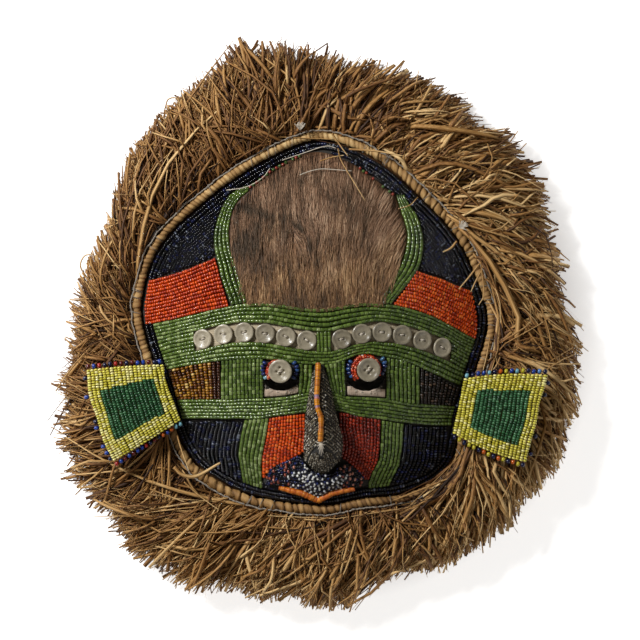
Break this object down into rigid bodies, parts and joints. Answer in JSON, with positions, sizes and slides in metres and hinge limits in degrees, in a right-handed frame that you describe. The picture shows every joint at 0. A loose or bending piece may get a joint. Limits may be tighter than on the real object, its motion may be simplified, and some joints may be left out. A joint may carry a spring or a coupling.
{
  "type": "beaded raffia mask",
  "caption": "Domed face mask of stiff cloth covered with strings of glass beads, with pearl-button brows and eyes, a beaded nose and ears, and a bushy raffia ruff round a bound rim",
  "frame": {"origin": "on the table that the mask lies on, under the middle of its bounding box", "axes": "the mask lies on its back: +X is to the right of a person looking at the face, +Y runs from the chin up the forehead, +Z is out of the face and away from the table"},
  "size_m": [0.3695, 0.3985, 0.0804],
  "materials": {
    "face_cloth": "off-white cotton cloth stiffened with paste, matt",
    "navy_beads": "opaque dark blue glass seed beads, glossy",
    "green_beads": "opaque olive green glass seed beads, glossy",
    "orange_beads": "opaque orange-red glass seed beads, glossy",
    "dark_red_beads": "opaque dark red glass seed beads, glossy",
    "amber_beads": "opaque amber and brown glass seed beads, glossy",
    "dark_brown_beads": "opaque dark brown glass seed beads, glossy",
    "grey_beads": "mixed grey, black and white glass seed beads, glossy",
    "ochre_beads": "opaque ochre glass seed beads, glossy",
    "mouth_beads": "mixed dark blue, salmon and white glass seed beads, glossy",
    "lip_beads": "close string of orange glass beads, glossy",
    "yellow_beads": "opaque yellow glass seed beads, glossy",
    "ear_green_beads": "opaque dark green glass seed beads, glossy",
    "blue_beads": "opaque blue and turquoise glass beads, glossy",
    "mother_of_pearl": "turned mother-of-pearl shell, silky gloss",
    "raffia": "dry raffia palm leaf, cut in blades, matt with a slight sheen",
    "coil_raffia": "raffia bound tightly over a bundle of raffia, matt",
    "twine": "twisted grey cotton twine, matt",
    "fur": "patch of short grey-brown animal fur, soft"
  },
  "bodies": {
    "root": {"bridge_green": "green_beads", "brow_button_left_1": "mother_of_pearl", "brow_button_left_2": "mother_of_pearl", "brow_button_left_3": "mother_of_pearl", "brow_button_left_4": "mother_of_pearl", "brow_button_left_5": "mother_of_pearl", "brow_button_left_6": "mother_of_pearl", "brow_button_right_1": "mother_of_pearl", "brow_button_right_2": "mother_of_pearl", "brow_button_right_3": "mother_of_pearl", "brow_button_right_4": "mother_of_pearl", "brow_button_right_5": "mother_of_pearl", "brow_button_right_6": "mother_of_pearl", "brow_green_end_left": "green_beads", "brow_green_end_right": "green_beads", "brow_green_lower": "green_beads", "brow_green_upper": "green_beads", "cheek_green_left": "green_beads", "cheek_green_right": "green_beads", "cheek_navy_left": "navy_beads", "cheek_navy_right": "navy_beads", "cheek_orange_left": "orange_beads", "cheek_orange_right": "dark_red_beads", "ear_centre_left": "ear_green_beads", "ear_centre_right": "ear_green_beads", "ear_left": "yellow_beads", "ear_right": "yellow_beads", "edge_navy_strings": "navy_beads", "eye_button_left": "mother_of_pearl", "eye_button_right": "mother_of_pearl", "eye_left_beads_left": "blue_beads", "eye_left_beads_right": "blue_beads", "eye_right_beads_left": "blue_beads", "eye_right_beads_right": "blue_beads", "eye_ring_left": "orange_beads", "eye_ring_right": "orange_beads", "eye_side_green_left": "green_beads", "eye_side_green_right": "green_beads", "face_panel": "face_cloth", "forehead_fur": "fur", "forehead_navy_left": "navy_beads", "forehead_navy_right": "navy_beads", "fur_border_left": "green_beads", "fur_border_right": "green_beads", "inner_eye_green_left": "green_beads", "inner_eye_green_right": "green_beads", "lower_lip": "lip_beads", "mouth": "mouth_beads", "nose": "grey_beads", "nose_ridge": "ochre_beads", "outer_eye_brown_left": "amber_beads", "outer_eye_brown_right": "dark_brown_beads", "raffia_ruff": "raffia", "rim_coil": "coil_raffia", "rim_twine": "twine", "temple_orange_left": "orange_beads", "temple_orange_right": "orange_beads", "under_eye_green_left": "green_beads", "under_eye_green_right": "green_beads"}
  },
  "joints": []
}
